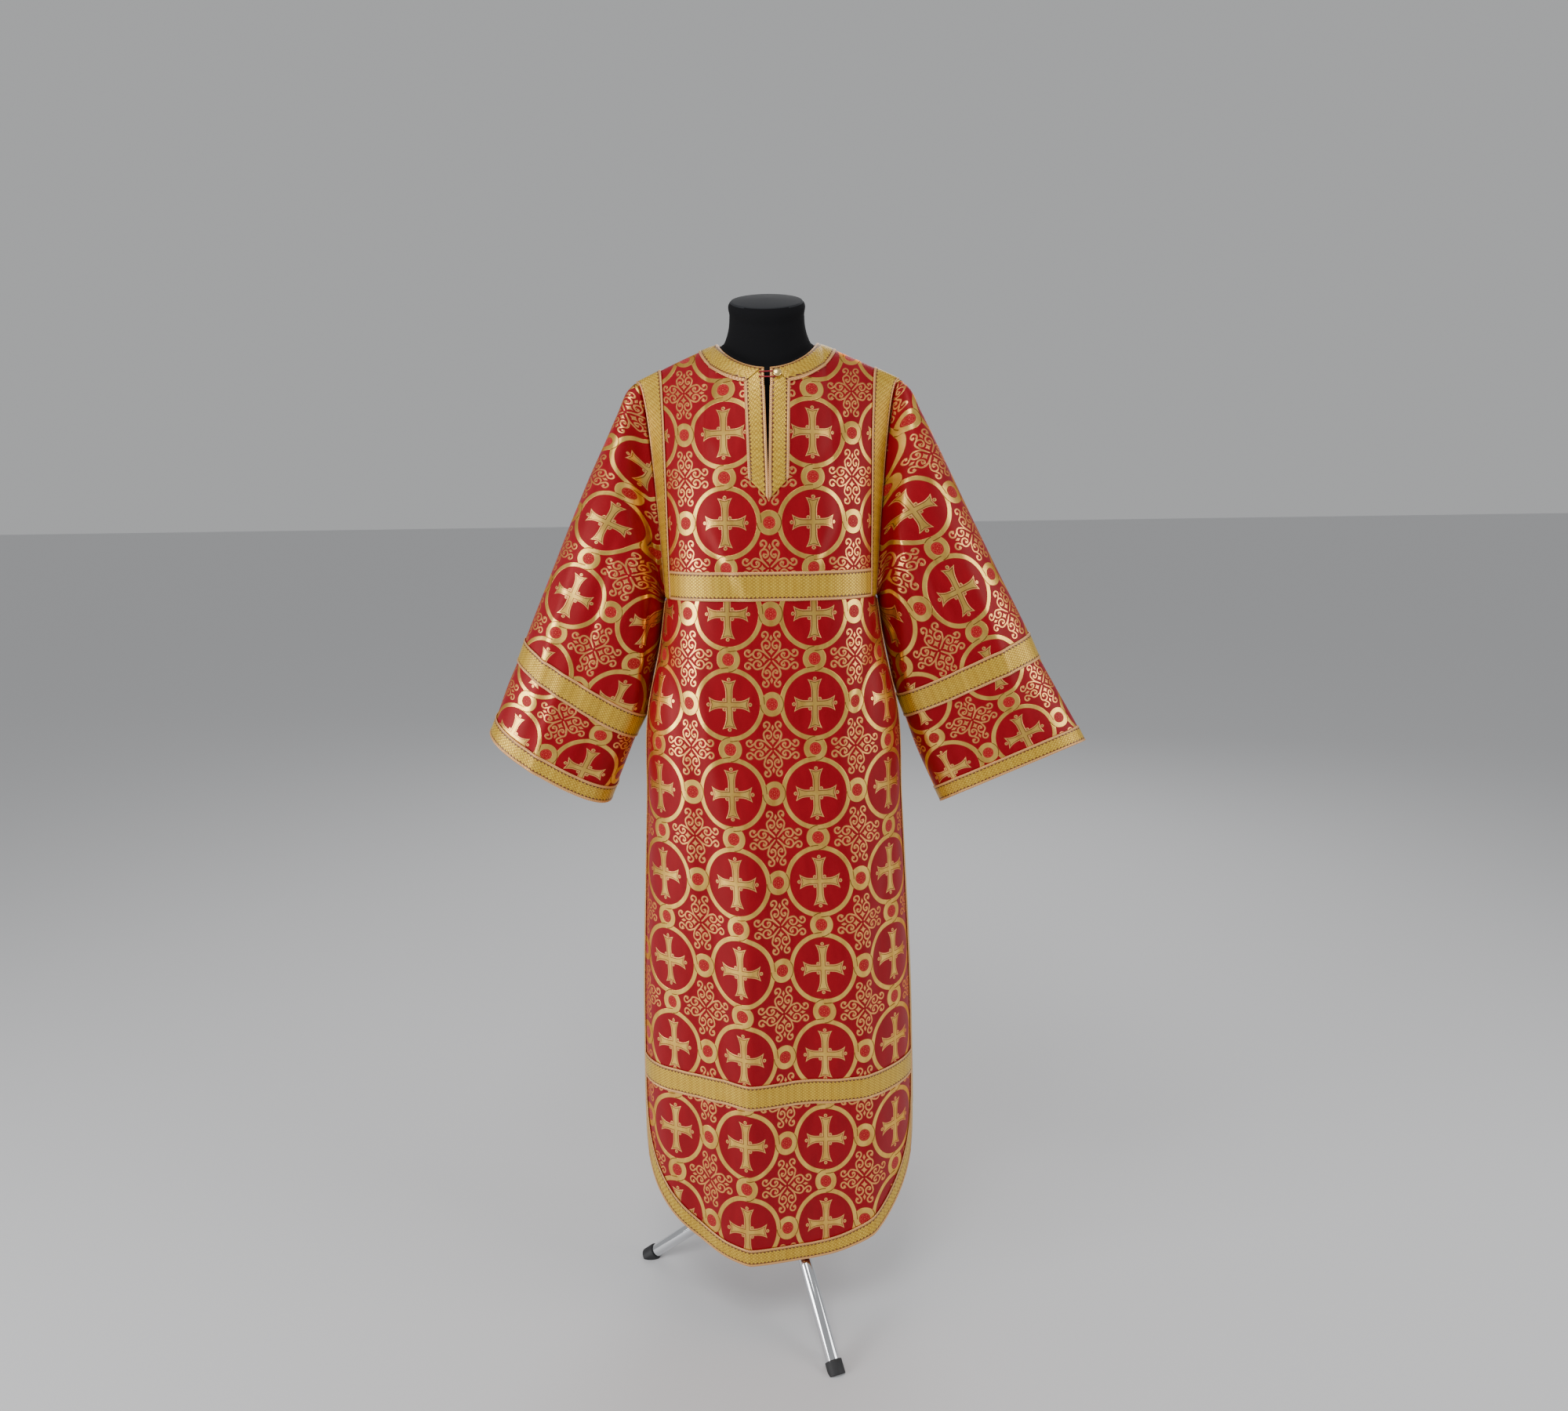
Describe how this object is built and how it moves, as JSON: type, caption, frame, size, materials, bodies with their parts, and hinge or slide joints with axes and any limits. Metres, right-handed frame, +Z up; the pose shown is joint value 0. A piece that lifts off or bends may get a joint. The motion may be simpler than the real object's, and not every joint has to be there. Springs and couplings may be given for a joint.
{
  "type": "sticharion on dress form with tripod stand",
  "caption": "Long wide-sleeved sticharion of red and gold brocade with braid bands, on a limbless dress form with a chrome tripod stand.",
  "frame": {"origin": "on the floor, under the middle of the whole object", "axes": "+Z up, the front of the garment faces -Y, +X to the viewer's right"},
  "size_m": [0.9772, 0.4556, 1.6978],
  "materials": {
    "brocade": "red satin ground with a woven gold medallion and cross repeat, soft sheen",
    "braid": "gold metallic braid with a fine diamond weave, red saw-tooth lines and corded edges",
    "button": "polished pale gold",
    "cord": "red twisted cord",
    "form_cloth": "matte black jersey over a smooth body",
    "chrome": "polished chrome tube",
    "foot_rubber": "matte black rubber"
  },
  "bodies": {
    "root": {"front_panel": "brocade", "back_panel": "brocade", "sleeve_left": "brocade", "sleeve_right": "brocade", "neck_trim": "braid", "chest_band": "braid", "back_band": "braid", "hem_band_front": "braid", "hem_band_back": "braid", "hem_trim_front": "braid", "hem_trim_back": "braid", "sleeve_band_left": "braid", "cuff_trim_left": "braid", "placket_trim_left": "braid", "armhole_trim_left": "braid", "side_trim_front_left": "braid", "side_trim_back_left": "braid", "sleeve_band_right": "braid", "cuff_trim_right": "braid", "placket_trim_right": "braid", "armhole_trim_right": "braid", "side_trim_front_right": "braid", "side_trim_back_right": "braid", "button": "button", "button_loop": "cord", "dress_form": "form_cloth", "stand_pole": "chrome", "stand_hub": "chrome", "stand_leg_1": "chrome", "stand_leg_2": "chrome", "stand_leg_3": "chrome", "foot_cap_1": "foot_rubber", "foot_cap_2": "foot_rubber", "foot_cap_3": "foot_rubber"}
  },
  "joints": []
}
